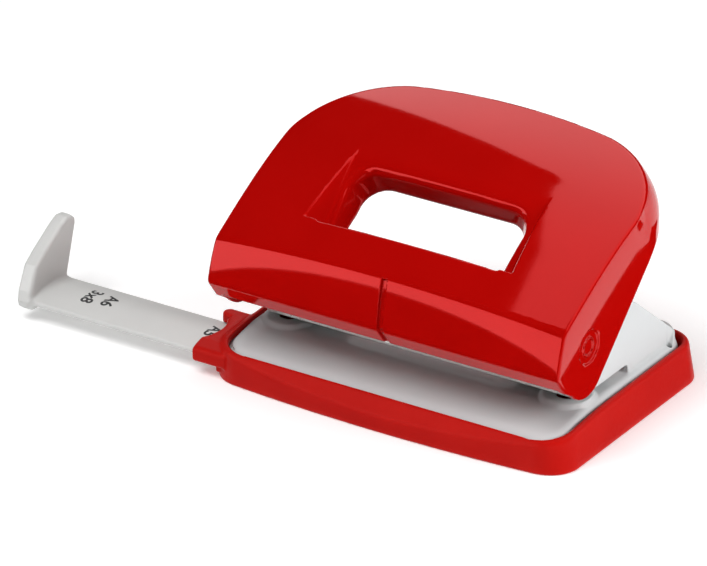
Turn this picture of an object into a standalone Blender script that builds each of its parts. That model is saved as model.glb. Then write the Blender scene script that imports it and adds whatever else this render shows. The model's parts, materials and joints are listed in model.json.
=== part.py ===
"""Two-hole office punch: sheet-steel frame, plastic lever, chip tray and paper guide rail.

Drawing dimensions below are millimetres; meshes are made in metres.
+X runs to the right along the punch, -Y is the side the paper enters from, +Z is up.
The origin is on the underside of the chip tray, midway between the two punched holes.
"""
import math

import bmesh
import bpy
from mathutils import Vector

MM = 0.001

# Paper geometry
PIN_X = 40.0              # half of the 80 mm hole spacing
PIN_R = 2.75              # a 5.5 mm hole
PAPER_EDGE_Y = 12.0       # distance from the hole centres to the paper's edge
SLOT_Z = (11.0, 13.2)     # paper slot between the plate and the arms

# Lever pivot
PIVOT_Y, PIVOT_Z = -9.0, 26.5
PIVOT_R = 2.0

HOLE_GAP = 0.1            # radial play of every pin and rivet in its hole
PAST = 60.0               # half-length of cutters that run right across the punch

# Chip tray
TRAY_HALF = 51.2
TRAY_DRAFT = 0.11
TRAY_FRONT_Y, TRAY_BOW = -22.9, 0.0010
TRAY_REAR_Y = 47.2
TRAY_CORNER_R = 8.0
TRAY_TOP_Z = 10.8
TRAY_FLOOR = 2.0
TRAY_FACET = ((-20.1, 8.9), (-20.6, 8.3), (-26.0, -1.0))
CHIP_HALF, CHIP_Y, CHIP_CORNER_R = 46.7, (-18.3, 44.6), 6.0
POCKET_Z = 6.2
POCKET_GAP, POCKET_REAR_Y = 0.35, 44.9
PAD_XY = (38.0, -9.0, 33.0)
PAD_R, PAD_T, PAD_EDGE = 5.0, 1.0, 0.3

# Rail holder on the tray's left end: plan with the arched window, and its crowned top
HOLDER_PLAN = ((-55.4, -20.6), (-46.0, -20.6), (-46.0, -1.4), (-57.3, -1.4), (-57.3, -4.8), (-54.2, -5.2),
               (-53.4, -7.4), (-53.0, -10.0), (-53.1, -12.6), (-53.9, -14.8), (-55.4, -16.2))
HOLDER_Z = (3.4, 12.0)
HOLDER_CROWN = ((-22.0, 3.0), (0.0, 3.0), (0.0, 9.6), (-4.0, 9.4), (-8.0, 9.1), (-13.0, 9.0), (-17.0, 8.5),
                (-19.6, 7.8), (-20.6, 7.2), (-22.0, 7.0))

# Hinge between the tray and the steel frame
HINGE_Y, HINGE_Z = 40.6, 8.2
HINGE_PIN_R = 0.8
HINGE_X = (27.8, 40.2)
LUG_X, LUG_R, LUG_Y = ((27.4, 30.7), (37.3, 40.6)), 1.35, (-2.2, 0.9)
KNUCKLE_X, KNUCKLE_R = (31.0, 37.0), 1.6

# Steel plate
PLATE_HALF = 48.2
PLATE_Y = (-19.6, 43.8)
PLATE_CORNER_R = 7.5
SHEET = 1.2
APRON_Y, APRON_FRONT_Z = -6.0, 8.5
APRON_BEND = ((3.0, 0.0), (0.0, 0.25), (-3.5, 0.85))     # y from the fold, drop below the flat
SKIRT_Z = 7.1
RIM_R = 1.0
BOSS_R, BOSS_H, BOSS_SLOPE, DISH_R = 7.2, 0.9, 0.8, 5.6
DIE_R = 2.9
EAR_X = (44.2, 45.7)
EAR_REAR_Y, EAR_SLOT_END_Y = 40.2, 18.6
EAR_BACK = ((40.2, 13.4), (39.0, 14.5), (22.6, 28.0), (14.5, 33.6), (11.0, 34.6), (7.0, 34.6), (-2.5, 33.0))
EAR_NOSE_R, EAR_FRONT = 6.3, ((-8.2, 16.6), (-3.6, 14.3))
RELIEF_XY, RELIEF_R = (46.4, 36.8), 0.8
UPSTAND_INSET, UPSTAND_Z, UPSTAND_TURN = 1.1, (10.4, 13.8), 30
NOTCH_X, NOTCH_TOP = (-50.0, -45.0), 7.9

# Guide bracket
BRACKET_HALF = 43.9
BRACKET_Y = (-4.9, 13.4)
BRACKET_Z = (13.6, 14.8)
BRACKET_FLANGE_TOP, BRACKET_FLANGE_Y = 28.0, 4.4
BRACKET_HOLE_R = 3.6
WINDOW_HALF, WINDOW_Y, WINDOW_R = 24.0, (-1.4, 7.6), 3.0
BACK_STOP_X = (18.0, 33.0)
RIVETS_YZ = ((6.6, 20.6), (9.4, 25.0))
RIVET_R, RIVET_HEAD_R, RIVET_CROWN_R = 1.3, 2.2, 1.5
PIVOT_HEAD_R, PIVOT_X = 3.2, (42.9, 48.8)
BUSH_R, BUSH_FLANGE_R, BUSH_BORE_R = 3.5, 3.95, 2.95

# Return springs and retaining rings
SPRING_Z = (16.3, 24.6)
SPRING_R, WIRE_R, SPRING_TURNS = 3.55, 0.32, 5.5
SPRING_FLAT_TURNS, SPRING_FLAT_RISE = 0.6, 0.05      # turns at each end that lie flat, and their share of the rise
RING_Z, RING_R, RING_OPENING = (24.8, 25.6), (2.35, 3.9), (-60, 240)
GROOVE_R = 2.2
PIN_Z = (13.9, 26.3)
PIN_NOTCH, PIN_POINT = 1.3, 0.2                      # depth of the hollow-ground notch and length of its points

# Lever shell
LEVER_HALF = 50.2
LEVER_BULGE = 3.2
SKIN = 2.2
TIP_R = 9.6
LEVER_REAR_Y, LEVER_REAR_BOW = 41.3, 0.0020
LEVER_CORNER_R = 16.3
LEVER_FOOT = (-20.9, 27.0)
LEVER_STATIONS = (-52.0, -48.0, -40.0, -30.0, -20.0, -10.0, 0.0, 10.0, 20.0, 30.0, 40.0, 48.0, 52.0)
LEVER_UNDER = ((21.0, 41.0), (26.5, 44.7), (29.5, 45.9), (35.0, 47.8), (46.0, 51.0))
MOUTH_Y, MOUTH_Z = (-26.0, -12.0), (10.0, 22.0)
LEVER_TOP_SIDE = ((-17.8, 37.6), (-10.0, 42.2), (0.0, 47.6), (8.0, 51.4), (13.0, 53.4),
                  (19.0, 55.3), (25.0, 56.9), (31.0, 58.2), (37.0, 59.3), (42.0, 60.0), (46.0, 60.3))
NOSE_R, NOSE_Z = 2.0, 28.4
RIB_HALF, RIB_ROOT = 1.8, ((6.5, 36.0), (9.0, 51.0), (-9.0, 43.0), (-6.5, 36.0))
SOCKET_R, SOCKET_X = 4.6, (46.4, 48.6)
MARK_HALF = 0.6
BADGE_YZ, BADGE_DEPTH = (-8.0, 30.5), 0.35

# Hand opening in the lever, measured along the main face
GRIP_TILT = math.radians(28.0)
GRIP_ORIGIN = (0.0, 48.9)      # y, z of the face where the opening is measured from
GRIP_HALF = 23.4
GRIP_LOW, GRIP_HIGH = -10.6, 8.6
GRIP_CORNER_R = 6.5
GRIP_DEPTH = 8.5
SCOOP_OUT, SCOOP_DEPTH = 29.3, 1.5
TUBE_WALL, WING_HALF, WING_DEPTH = 2.0, 31.5, 4.5

# Paper guide rail, shown with the stop set for A5 paper (half of 210 mm from the centre)
RAIL_Y = (-19.0, -2.7)
RAIL_EDGE_Z, RAIL_CROWN = 6.0, 1.5
RAIL_T, RAIL_GAP = 1.4, 0.3
RAIL_X = (-105.6, 7.0)
RAIL_REACH_X = 44.2       # end of the channel in the tray
RAIL_RIBS_Y = ((-19.2, -17.4), (-4.6, -2.8))
RAIL_RIB_X = (-49.5, 45.2)
RAIL_RIB_TOP = 4.2
STOP_X = (-109.2, -105.0)
STOP_OUTLINE = ((-17.9, 2.8), (-19.6, 4.0), (-20.0, 5.6), (-19.3, 8.5), (-16.4, 14.4), (-12.4, 17.2),
                (-5.2, 21.5), (-2.6, 22.6), (-0.6, 22.4), (0.8, 21.2), (0.9, 19.8), (-3.3, 6.6),
                (-3.6, 2.8))


# ---------------------------------------------------------------- helpers

def material(name, colour, rough, metal):
    mat = bpy.data.materials.new(name)
    mat.use_nodes = True
    shader = mat.node_tree.nodes["Principled BSDF"]
    shader.inputs["Base Color"].default_value = (*colour, 1.0)
    shader.inputs["Roughness"].default_value = rough
    shader.inputs["Metallic"].default_value = metal
    return mat


def mesh_object(name, points, faces, mat):
    """One closed body from points in millimetres, with its faces turned outwards."""
    mesh = bpy.data.meshes.new(name)
    mesh.from_pydata([Vector(p) * MM for p in points], [], faces)
    body = bmesh.new()
    body.from_mesh(mesh)
    bmesh.ops.recalc_face_normals(body, faces=body.faces[:])
    body.to_mesh(mesh)
    body.free()
    obj = bpy.data.objects.new(name, mesh)
    obj.data.materials.append(mat)
    bpy.context.scene.collection.objects.link(obj)
    return obj


def loft(name, loops, mat):
    """Closed body through a row of loops that all have the same number of points."""
    count = len(loops[0])
    points = [p for loop in loops for p in loop]
    faces = []
    for row in range(len(loops) - 1):
        for i in range(count):
            j = (i + 1) % count
            faces.append((row * count + i, row * count + j, (row + 1) * count + j, (row + 1) * count + i))
    faces.append(tuple(range(count)))
    faces.append(tuple((len(loops) - 1) * count + i for i in range(count)))
    return mesh_object(name, points, faces, mat)


def prism_x(name, outline, x0, x1, mat):
    return loft(name, [[(x, y, z) for y, z in outline] for x in (x0, x1)], mat)


def prism_z(name, outline, z0, z1, mat):
    return loft(name, [[(x, y, z) for x, y in outline] for z in (z0, z1)], mat)


def box(name, x, y, z, mat):
    return prism_z(name, [(x[0], y[0]), (x[1], y[0]), (x[1], y[1]), (x[0], y[1])], z[0], z[1], mat)


def ring_points(cx, cy, radius, count=32):
    return [(cx + radius * math.cos(2 * math.pi * i / count), cy + radius * math.sin(2 * math.pi * i / count))
            for i in range(count)]


def turned(name, x, y, profile, mat, count=32):
    """Round body about a vertical axis; profile is (radius, z) from the bottom to the top."""
    return loft(name, [[(px, py, z) for px, py in ring_points(x, y, r, count)] for r, z in profile], mat)


def turned_x(name, y, z, profile, mat, count=24):
    """Round body about an axis along X; profile is (radius, x)."""
    return loft(name, [[(x, py, pz) for py, pz in ring_points(y, z, r, count)] for r, x in profile], mat)


def drilled(name, x, y, radius, ends, mat, count=32):
    return turned(name, x, y, [(radius, z) for z in ends], mat, count)


def drilled_x(name, y, z, radius, ends, mat, count=24):
    return turned_x(name, y, z, [(radius, x) for x in ends], mat, count)


def boolean(target, tool, operation):
    """Apply a boolean between two bodies and drop the tool."""
    step = target.modifiers.new("cut", "BOOLEAN")
    step.operation = operation
    step.solver = "EXACT"
    step.object = tool
    bpy.context.view_layer.update()
    graph = bpy.context.evaluated_depsgraph_get()
    made = bpy.data.meshes.new_from_object(target.evaluated_get(graph))
    target.modifiers.clear()
    target.data = made
    bpy.data.objects.remove(tool)
    tidy = bmesh.new()
    tidy.from_mesh(made)
    bmesh.ops.remove_doubles(tidy, verts=tidy.verts[:], dist=0.002 * MM)
    bmesh.ops.dissolve_degenerate(tidy, edges=tidy.edges[:], dist=0.002 * MM)
    tidy.to_mesh(made)
    tidy.free()
    return target


def add(target, tool):
    return boolean(target, tool, "UNION")


def cut(target, tool):
    return boolean(target, tool, "DIFFERENCE")


def keep(target, tool):
    return boolean(target, tool, "INTERSECT")


def smooth(obj, angle=35.0):
    """Shade round surfaces smooth and keep the creases sharp."""
    body = bmesh.new()
    body.from_mesh(obj.data)
    for face in body.faces:
        face.smooth = True
    limit = math.radians(angle)
    for edge in body.edges:
        edge.smooth = len(edge.link_faces) == 2 and edge.calc_face_angle(0.0) < limit
    body.to_mesh(obj.data)
    body.free()


def origin_on(obj, y, z, x=0.0):
    """Put the object's origin on a joint's axis without moving its surface."""
    shift = Vector((x, y, z)) * MM
    for vertex in obj.data.vertices:
        vertex.co -= shift
    obj.location = shift


def arc(cx, cy, radius, start, end, count):
    """Points on an arc; the angles are degrees."""
    steps = [math.radians(start + (end - start) * i / (count - 1)) for i in range(count)]
    return [(cx + radius * math.cos(a), cy + radius * math.sin(a)) for a in steps]


def rounded_box(half, y0, y1, radius, bow=0.0, steps=6, front_radius=None):
    """Plan outline with four rounded corners; bow bends the front edge back towards its ends."""
    front_r = radius if front_radius is None else front_radius
    outline = []
    front = [-1.0, -0.75, -0.5, -0.25, 0.0, 0.25, 0.5, 0.75, 1.0]
    reach = half - front_r
    for t in front:
        outline.append((t * reach, y0 + bow * (t * reach) ** 2))
    edge = y0 + bow * reach ** 2
    outline += arc(half - front_r, edge + front_r, front_r, -90, 0, steps)[1:]
    outline += arc(half - radius, y1 - radius, radius, 0, 90, steps)
    outline += arc(-half + radius, y1 - radius, radius, 90, 180, steps)
    outline += arc(-half + front_r, edge + front_r, front_r, 180, 270, steps)[:-1]
    return outline


# ---------------------------------------------------------------- chip tray

def tray_plan(inset, z):
    half = TRAY_HALF - TRAY_DRAFT * z - inset
    return rounded_box(half, TRAY_FRONT_Y + inset, TRAY_REAR_Y - TRAY_DRAFT * z - inset,
                       TRAY_CORNER_R - 0.6 * inset, TRAY_BOW)


def make_tray(mat):
    tray = loft("chip_tray", [[(x, y, z) for x, y in tray_plan(0.0, z)] for z in (0.0, TRAY_TOP_Z)], mat)
    rim_z = TRAY_TOP_Z - 0.1
    profile = [(-PAST, -1.0), (PAST, -1.0), (PAST, rim_z), (APRON_Y, rim_z), *TRAY_FACET]
    keep(tray, prism_x("trim", profile, -PAST, PAST, mat))
    # guide holder on the left end, with the arched window over the rail
    block = prism_z("holder", HOLDER_PLAN, *HOLDER_Z, mat)
    keep(block, prism_x("crown", HOLDER_CROWN, -PAST, 0.0, mat))
    add(tray, block)
    # hollow for the chips, then the wider pocket the steel plate sits in
    cavity = rounded_box(CHIP_HALF, *CHIP_Y, CHIP_CORNER_R)
    cut(tray, prism_z("cavity", cavity, TRAY_FLOOR, PAST, mat))
    pocket = rounded_box(PLATE_HALF + POCKET_GAP, PLATE_Y[0] - POCKET_GAP, POCKET_REAR_Y, PLATE_CORNER_R)
    cut(tray, prism_z("pocket", pocket, POCKET_Z, PAST, mat))
    # rail channel through the left wall and along the front wall
    cut(tray, prism_x("channel", rail_section(RAIL_GAP), -PAST, RAIL_REACH_X, mat))
    # two ribs carry the rail along the floor
    for ends in RAIL_RIBS_Y:
        add(tray, box("rib", RAIL_RIB_X, ends, (TRAY_FLOOR - 0.5, RAIL_RIB_TOP), mat))
    # hinge lugs at the rear
    for side in (-1, 1):
        for x0, x1 in LUG_X:
            add(tray, prism_x("lug", hinge_lug_outline(), side * x0, side * x1, mat))
        ends = (side * (LUG_X[0][0] - 1.0), side * (LUG_X[1][1] + 1.0))
        cut(tray, drilled_x("bore", HINGE_Y, HINGE_Z, HINGE_PIN_R + HOLE_GAP, ends, mat, 16))
    # pockets for the anti-slip pads
    for x in (-PAD_XY[0], PAD_XY[0]):
        for y in PAD_XY[1:]:
            cut(tray, drilled("pocket", x, y, PAD_R + 0.2, (-1.0, PAD_T + 0.1), mat, 28))
    return tray


def hinge_lug_outline():
    """A lug with its rear face set in, so that the plate's skirt can swing down behind it."""
    outline = [(HINGE_Y + reach, TRAY_FLOOR - 0.5) for reach in LUG_Y]
    return outline + arc(HINGE_Y, HINGE_Z, LUG_R, -45, 190, 13)


def make_pads(mat):
    pads = []
    for x, end in ((-PAD_XY[0], "left"), (PAD_XY[0], "right")):
        for y, row in zip(PAD_XY[1:], ("front", "rear")):
            profile = [(PAD_R - PAD_EDGE, 0.0), (PAD_R, PAD_EDGE), (PAD_R, PAD_T)]
            pads.append(turned("pad_%s_%s" % (row, end), x, y, profile, mat, 28))
    return pads


def make_hinge_pins(mat):
    pins = []
    for side, end in ((-1, "left"), (1, "right")):
        pins.append(turned_x("tray_hinge_pin_" + end, HINGE_Y, HINGE_Z,
                             [(HINGE_PIN_R, side * x) for x in HINGE_X], mat, 16))
    return pins


# ---------------------------------------------------------------- steel frame

def plate_profile(drop):
    """Side view of the plate's top: flat at the rear, falling to the front edge."""
    low, flat = SKIRT_Z - 12.0, SLOT_Z[0] - drop
    bend = [(APRON_Y + y, flat - fall) for y, fall in APRON_BEND]
    return [(-PAST, low), (PAST, low), (PAST, flat), *bend, (PLATE_Y[0], APRON_FRONT_Z - drop),
            (-PAST, APRON_FRONT_Z - 9.0 - drop)]


def ear_outline():
    """Side view of an ear: the foot, the long slope, and the nose round the pivot."""
    outline = [(EAR_REAR_Y, SLOT_Z[0] - 0.3), *EAR_BACK]
    outline += arc(PIVOT_Y, PIVOT_Z, EAR_NOSE_R, 60, 238, 12)
    outline += [*EAR_FRONT, (-2.0, SLOT_Z[1]), (EAR_SLOT_END_Y - 1.2, SLOT_Z[1])]
    outline += [(EAR_SLOT_END_Y - 0.3, SLOT_Z[1] - 0.4), (EAR_SLOT_END_Y, SLOT_Z[1] - 1.1),
                (EAR_SLOT_END_Y, SLOT_Z[0] - 0.3)]
    return outline


def upstand_outline():
    """Plan of the upturned edge: a strip one sheet thick, set in from the plate's rear edge."""
    reach, centre_y = PLATE_HALF - PLATE_CORNER_R, PLATE_Y[1] - PLATE_CORNER_R
    outer_r = PLATE_CORNER_R - UPSTAND_INSET
    inner_r = outer_r - SHEET
    first, last = UPSTAND_TURN, 180 - UPSTAND_TURN
    outline = arc(reach, centre_y, outer_r, first, 90, 7) + arc(-reach, centre_y, outer_r, 90, last, 7)
    return outline + arc(-reach, centre_y, inner_r, last, 90, 7) + arc(reach, centre_y, inner_r, 90, first, 7)


def make_plate(mat):
    plan = rounded_box(PLATE_HALF, PLATE_Y[0], PLATE_Y[1], PLATE_CORNER_R)
    plate = prism_z("base_plate", plan, SKIRT_Z, 20.0, mat)
    keep(plate, prism_x("top", plate_profile(0.0), -PAST, PAST, mat))
    rim = plate.modifiers.new("rim", "BEVEL")
    rim.width = RIM_R * MM
    rim.segments = 3
    rim.limit_method = "ANGLE"
    rim.angle_limit = math.radians(60.0)
    hollow_plan = rounded_box(PLATE_HALF - SHEET, PLATE_Y[0] + SHEET, PLATE_Y[1] - SHEET, PLATE_CORNER_R - SHEET)
    hollow = prism_z("hollow", hollow_plan, SKIRT_Z - 2.0, 20.0, mat)
    keep(hollow, prism_x("under", plate_profile(SHEET), -PAST, PAST, mat))
    cut(plate, hollow)
    for side in (-1, 1):
        x = side * PIN_X
        top = SLOT_Z[0] + BOSS_H
        below = SLOT_Z[0] - 3.0
        add(plate, turned("boss", x, 0.0, [(BOSS_R, SLOT_Z[0] - 0.6), (BOSS_R, SLOT_Z[0] + 0.2),
                                           (BOSS_R - BOSS_SLOPE, top)], mat, 40))
        cut(plate, drilled("dish", x, 0.0, DISH_R, (below, top - SHEET), mat, 40))
        cut(plate, drilled("die", x, 0.0, DIE_R, (below, top + 2.0), mat))
        add(plate, prism_x("ear", ear_outline(), side * EAR_X[0], side * EAR_X[1], mat))
        through = (side * (EAR_X[0] - 4.0), side * (EAR_X[1] + 1.5))
        cut(plate, drilled_x("pivot", PIVOT_Y, PIVOT_Z, PIVOT_R + HOLE_GAP, through, mat))
        for y, z in RIVETS_YZ:
            cut(plate, drilled_x("hole", y, z, RIVET_R + HOLE_GAP, through, mat, 16))
        # relief hole where the bend of the ear ends
        cut(plate, drilled("relief", side * RELIEF_XY[0], RELIEF_XY[1], RELIEF_R, (9.0, 12.0), mat, 12))
        # hinge knuckle under the rear edge
        root = SLOT_Z[0] - 0.4
        knuckle = arc(HINGE_Y, HINGE_Z, KNUCKLE_R, 180, 360, 9)
        knuckle += [(HINGE_Y + KNUCKLE_R, root), (HINGE_Y - KNUCKLE_R, root)]
        add(plate, prism_x("knuckle", knuckle, side * KNUCKLE_X[0], side * KNUCKLE_X[1], mat))
        bore_x = (side * (KNUCKLE_X[0] - 1.0), side * (KNUCKLE_X[1] + 1.0))
        cut(plate, drilled_x("bore", HINGE_Y, HINGE_Z, HINGE_PIN_R + HOLE_GAP, bore_x, mat, 16))
    # the left skirt is notched over the guide rail
    cut(plate, box("notch", NOTCH_X, (RAIL_Y[0] + 0.9, RAIL_Y[1] + 0.8), (SKIRT_Z - 2.0, NOTCH_TOP), mat))
    # upturned rear edge, running on round both corners
    add(plate, prism_z("upstand", upstand_outline(), *UPSTAND_Z, mat))
    return plate


def make_bracket(mat):
    outline = [(-BRACKET_HALF, BRACKET_Z[0]), (BRACKET_HALF, BRACKET_Z[0]), (BRACKET_HALF, BRACKET_FLANGE_TOP),
               (BRACKET_HALF - SHEET, BRACKET_FLANGE_TOP), (BRACKET_HALF - SHEET, BRACKET_Z[1]),
               (-BRACKET_HALF + SHEET, BRACKET_Z[1]), (-BRACKET_HALF + SHEET, BRACKET_FLANGE_TOP),
               (-BRACKET_HALF, BRACKET_FLANGE_TOP)]
    bracket = loft("guide_bracket", [[(x, y, z) for x, z in outline] for y in BRACKET_Y], mat)
    # the end flanges only stand behind the pivot
    for side in (-1, 1):
        x = side * BRACKET_HALF
        flange_x = sorted((x - side * 3.0, x + side * 1.0))
        above = (BRACKET_Z[1], BRACKET_FLANGE_TOP + 2.0)
        cut(bracket, box("trim", flange_x, (BRACKET_Y[0] - 3.0, BRACKET_FLANGE_Y), above, mat))
        web = (BRACKET_Z[0] - 1.6, BRACKET_Z[1] + 1.2)
        cut(bracket, drilled("hole", side * PIN_X, 0.0, BRACKET_HOLE_R, web, mat, 28))
        for y, z in RIVETS_YZ:
            through = (side * PIN_X, side * (BRACKET_HALF + 1.1))
            cut(bracket, drilled_x("hole", y, z, RIVET_R + HOLE_GAP, through, mat, 16))
        # paper back stop, bent down to the plate
        stop = box("stop", sorted(side * x for x in BACK_STOP_X), (PAPER_EDGE_Y, BRACKET_Y[1]),
                   (SLOT_Z[0] + 0.3, BRACKET_Z[0] + 0.3), mat)
        add(bracket, stop)
    # opened middle
    window = rounded_box(WINDOW_HALF, *WINDOW_Y, WINDOW_R)
    cut(bracket, prism_z("window", window, BRACKET_Z[0] - 1.6, BRACKET_Z[1] + 1.2, mat))
    return bracket


def make_rivets(mat):
    rivets = []
    for side, end in ((-1, "left"), (1, "right")):
        for (y, z), row in zip(RIVETS_YZ, ("low", "high")):
            inner = BRACKET_HALF - SHEET
            outer = EAR_X[1]
            profile = [(RIVET_CROWN_R, inner - 0.95), (RIVET_HEAD_R, inner - 0.55), (RIVET_HEAD_R, inner - 0.05),
                       (RIVET_R, inner - 0.05), (RIVET_R, outer + 0.05), (RIVET_HEAD_R, outer + 0.05),
                       (RIVET_HEAD_R, outer + 0.35), (RIVET_CROWN_R, outer + 0.7)]
            rivets.append(turned_x("rivet_%s_%s" % (row, end), y, z, [(r, side * x) for r, x in profile], mat, 16))
    return rivets


def make_pivot_pins(mat):
    pins = []
    for side, end in ((-1, "left"), (1, "right")):
        inner, outer = PIVOT_X
        profile = [(PIVOT_HEAD_R - 0.6, inner), (PIVOT_HEAD_R, inner + 0.4), (PIVOT_HEAD_R, EAR_X[0] - 0.1),
                   (PIVOT_R, EAR_X[0] - 0.1), (PIVOT_R, outer - 0.4), (PIVOT_R - 0.4, outer)]
        pins.append(turned_x("pivot_pin_" + end, PIVOT_Y, PIVOT_Z, [(r, side * x) for r, x in profile], mat))
    return pins


def make_bushes(mat):
    bushes = []
    for side, end in ((-1, "left"), (1, "right")):
        x = side * PIN_X
        collar = BRACKET_Z[1] + 0.05
        profile = [(BUSH_R, SLOT_Z[1] + 0.05), (BUSH_R, collar), (BUSH_FLANGE_R, collar),
                   (BUSH_FLANGE_R, SPRING_Z[0] - 0.1)]
        bush = turned("guide_bush_" + end, x, 0.0, profile, mat)
        cut(bush, drilled("bore", x, 0.0, BUSH_BORE_R, (SLOT_Z[0], SPRING_Z[1]), mat))
        bushes.append(bush)
    return bushes


# ---------------------------------------------------------------- punches

def make_punches(mat):
    punches = []
    for side, end in ((-1, "left"), (1, "right")):
        x = side * PIN_X
        groove = (RING_Z[0] - 0.05, RING_Z[1] + 0.05)
        profile = [(PIN_R, PIN_Z[0]), (PIN_R, groove[0]), (GROOVE_R, groove[0]), (GROOVE_R, groove[1]),
                   (PIN_R, groove[1]), (PIN_R, PIN_Z[1] - 0.4), (PIN_R - 0.5, PIN_Z[1])]
        pin = turned("punch_" + end, x, 0.0, profile, mat)
        # hollow-ground cutting face with two points
        wide, low = PIN_R + 1.25, PIN_Z[0] - 2.0
        notch = [(-wide, low), (wide, low), (wide, PIN_Z[0] - PIN_POINT), (0.0, PIN_Z[0] + PIN_NOTCH),
                 (-wide, PIN_Z[0] - PIN_POINT)]
        cut(pin, prism_x("notch", notch, x - wide, x + wide, mat))
        origin_on(pin, 0.0, PIN_Z[0], x)
        punches.append(pin)
    return punches


def make_springs(mat):
    """Helical wire with closed, flat-set ends."""
    springs = []
    rings_per_turn, section = 16, 6
    length = SPRING_Z[1] - SPRING_Z[0] - 2 * WIRE_R
    total = int(SPRING_TURNS * rings_per_turn)
    for side, end in ((-1, "left"), (1, "right")):
        loops = []
        for i in range(total + 1):
            turn = i / rings_per_turn
            angle = 2 * math.pi * turn
            flat = SPRING_FLAT_TURNS
            middle = min(max((turn - flat) / (SPRING_TURNS - 2 * flat), 0.0), 1.0)
            ends = min(turn / flat, 1.0) + max(0.0, (turn - SPRING_TURNS + flat) / flat)
            rise = (1.0 - 2 * SPRING_FLAT_RISE) * middle + SPRING_FLAT_RISE * ends
            z = SPRING_Z[0] + WIRE_R + length * rise
            loop = []
            for k in range(section):
                around = 2 * math.pi * k / section
                radius = SPRING_R + WIRE_R * math.cos(around)
                loop.append((side * PIN_X + radius * math.cos(angle), radius * math.sin(angle),
                             z + WIRE_R * math.sin(around)))
            loops.append(loop)
        springs.append(loft("return_spring_" + end, loops, mat))
    return springs


def make_rings(mat):
    """Retaining rings: open on one side so they can be pushed into the pin's groove."""
    rings = []
    for side, end in ((-1, "left"), (1, "right")):
        x = side * PIN_X
        first, last = RING_OPENING
        outline = arc(x, 0.0, RING_R[1], first, last, 26) + arc(x, 0.0, RING_R[0], last, first, 22)
        rings.append(prism_z("retaining_ring_" + end, outline, RING_Z[0], RING_Z[1], mat))
    return rings


# ---------------------------------------------------------------- lever

def lever_bulge(x):
    return LEVER_BULGE * (1.0 - (x / LEVER_HALF) ** 2)


def lever_section(x, inset):
    """Side view of the lever at one station: front facet, main face, rear, underside."""
    rise = lever_bulge(x)
    lean = 1.1 * rise / LEVER_BULGE
    crease_y, crease_z = LEVER_TOP_SIDE[0]
    top = [(crease_y - lean + inset * 0.9, crease_z + rise * 0.95 - inset * 1.12)]
    top += [(y, z + rise - inset * 1.12) for y, z in LEVER_TOP_SIDE[1:]]
    foot_y = LEVER_FOOT[0] - 0.4 * lean + inset * 0.95
    facet = [(foot_y, LEVER_FOOT[1] + inset * 0.2)]
    if inset:
        return facet + top + [(LEVER_UNDER[-1][0], 0.0), (foot_y + 2.0, 0.0)]
    tip = arc(PIVOT_Y, PIVOT_Z, TIP_R, 188, 314, 10)
    tip[0] = (tip[0][0] - 0.9 - 0.2 * lean, tip[0][1] - 0.4)
    tip[1] = (tip[1][0] - 0.3, tip[1][1] - 0.2)
    return facet + top + list(LEVER_UNDER)[::-1] + tip[::-1]


def lever_body(inset, mat):
    """Lever block: the side view swept across the width, trimmed to the plan outline."""
    body = loft("lever", [[(x, y, z) for y, z in lever_section(x, inset)] for x in LEVER_STATIONS], mat)
    half = LEVER_HALF - inset
    rear = LEVER_REAR_Y - inset
    radius = LEVER_CORNER_R - inset
    edge = arc(half - radius, rear - radius, radius, 0, 90, 12)
    edge += [(x, rear) for x in (20.0, 10.0, 0.0, -10.0, -20.0)]
    edge += arc(radius - half, rear - radius, radius, 90, 180, 12)
    outline = [(-half, -40.0), (half, -40.0)] + [(x, y - LEVER_REAR_BOW * x * x) for x, y in edge]
    keep(body, prism_z("plan", outline, -5.0, 90.0, mat))
    return body


def on_face(x, along, depth):
    """A point given on the main face: along runs up the slope, depth goes in."""
    y = GRIP_ORIGIN[0] + along * math.cos(GRIP_TILT) + depth * math.sin(GRIP_TILT)
    z = GRIP_ORIGIN[1] + along * math.sin(GRIP_TILT) - depth * math.cos(GRIP_TILT)
    return (x, y, z)


def grip_outline(grow):
    """Hand opening in the main face: square lower corners, round upper ones."""
    half, low, high = GRIP_HALF + grow, GRIP_LOW - grow, GRIP_HIGH + grow
    radius = GRIP_CORNER_R + grow
    outline = [(-half, low), (half, low)]
    outline += arc(half - 1.2 - radius, high - radius, radius, 0, 90, 8)
    outline += arc(radius - half + 1.2, high - radius, radius, 90, 180, 8)
    return outline


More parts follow.
